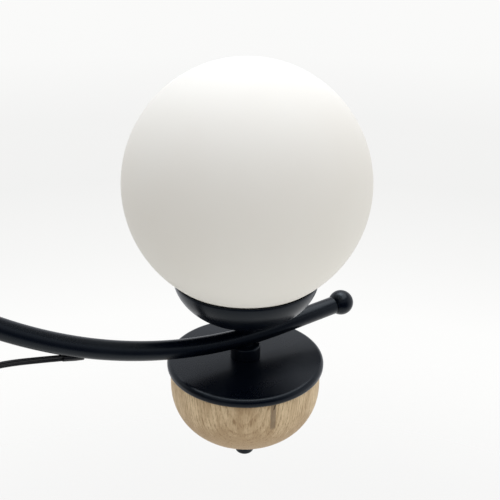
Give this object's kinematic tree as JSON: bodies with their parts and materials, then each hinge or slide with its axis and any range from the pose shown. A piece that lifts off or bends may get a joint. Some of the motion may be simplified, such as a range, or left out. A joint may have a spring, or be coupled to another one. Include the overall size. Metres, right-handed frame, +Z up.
{
  "type": "chandelier",
  "caption": "Ceiling chandelier: curved black steel arms carry opal glass globes in black cups, each over a round plate and a turned oak bowl.",
  "frame": {"origin": "centre of the ceiling bracket's top face, where it meets the ceiling", "axes": "+Z up, into the ceiling; X along the ceiling bracket; the third arm points to -Y"},
  "size_m": [0.6532, 0.5959, 0.5785],
  "materials": {
    "black_metal": "satin black powder coat",
    "opal_glass": "matte opal white",
    "oak": "pale oak, turned and sanded, clear matt oil",
    "zinc_steel": "zinc plated",
    "ceramic": "off-white ceramic",
    "bulb_glass": "frosted capsule",
    "black_pvc": "black cord sheath",
    "white_plastic": "moulded"
  },
  "bodies": {
    "ceiling_mount": {"ceiling_bracket": "zinc_steel", "ceiling_nipple": "zinc_steel", "terminal_block": "white_plastic"},
    "arm_frame": {"down_rod": "black_metal", "hub": "black_metal", "hub_cap": "black_metal", "column_tube": "black_metal", "junction_sleeve": "black_metal", "centre_plate": "black_metal", "centre_bowl": "oak", "centre_cap_nut": "black_metal", "centre_rod": "zinc_steel", "arm_1": "black_metal", "finial_1": "black_metal", "stem_1": "black_metal", "neck_1": "black_metal", "cup_1": "black_metal", "unit_plate_1": "black_metal", "oak_bowl_1": "oak", "cap_nut_1": "black_metal", "threaded_rod_1": "zinc_steel", "lock_nut_1": "zinc_steel", "lampholder_1": "ceramic", "cord_bush_1": "black_pvc", "cord_1": "black_pvc", "arm_2": "black_metal", "finial_2": "black_metal", "stem_2": "black_metal", "neck_2": "black_metal", "cup_2": "black_metal", "unit_plate_2": "black_metal", "oak_bowl_2": "oak", "cap_nut_2": "black_metal", "threaded_rod_2": "zinc_steel", "lock_nut_2": "zinc_steel", "lampholder_2": "ceramic", "cord_bush_2": "black_pvc", "cord_2": "black_pvc", "arm_3": "black_metal", "finial_3": "black_metal", "stem_3": "black_metal", "neck_3": "black_metal", "cup_3": "black_metal", "unit_plate_3": "black_metal", "oak_bowl_3": "oak", "cap_nut_3": "black_metal", "threaded_rod_3": "zinc_steel", "lock_nut_3": "zinc_steel", "lampholder_3": "ceramic", "cord_bush_3": "black_pvc", "cord_3": "black_pvc"},
    "canopy_cover": {"canopy": "black_metal", "canopy_collar": "black_metal"},
    "globe_shade_1": {"globe_1": "opal_glass"},
    "globe_shade_2": {"globe_2": "opal_glass"},
    "globe_shade_3": {"globe_3": "opal_glass"},
    "capsule_1": {"bulb_1": "bulb_glass"},
    "capsule_2": {"bulb_2": "bulb_glass"},
    "capsule_3": {"bulb_3": "bulb_glass"}
  },
  "joints": [
    {"name": "swivel", "type": "hinge", "parent": "ceiling_mount", "child": "arm_frame", "pos_m": [0, 0, -0.01], "axis": [0, 0, 1], "range_deg": [-170, 170]},
    {"name": "canopy_slide", "type": "slide", "parent": "arm_frame", "child": "canopy_cover", "axis": [0, 0, 1], "range_m": [-0.1, 0]},
    {"name": "globe_lift_1", "type": "slide", "parent": "arm_frame", "child": "globe_shade_1", "axis": [0, 0, 1], "range_m": [0, 0.13]},
    {"name": "globe_lift_2", "type": "slide", "parent": "arm_frame", "child": "globe_shade_2", "axis": [0, 0, 1], "range_m": [0, 0.13]},
    {"name": "globe_lift_3", "type": "slide", "parent": "arm_frame", "child": "globe_shade_3", "axis": [0, 0, 1], "range_m": [0, 0.13]},
    {"name": "bulb_pull_1", "type": "slide", "parent": "arm_frame", "child": "capsule_1", "axis": [0, 0, 1], "range_m": [0, 0.012]},
    {"name": "bulb_pull_2", "type": "slide", "parent": "arm_frame", "child": "capsule_2", "axis": [0, 0, 1], "range_m": [0, 0.012]},
    {"name": "bulb_pull_3", "type": "slide", "parent": "arm_frame", "child": "capsule_3", "axis": [0, 0, 1], "range_m": [0, 0.012]}
  ]
}
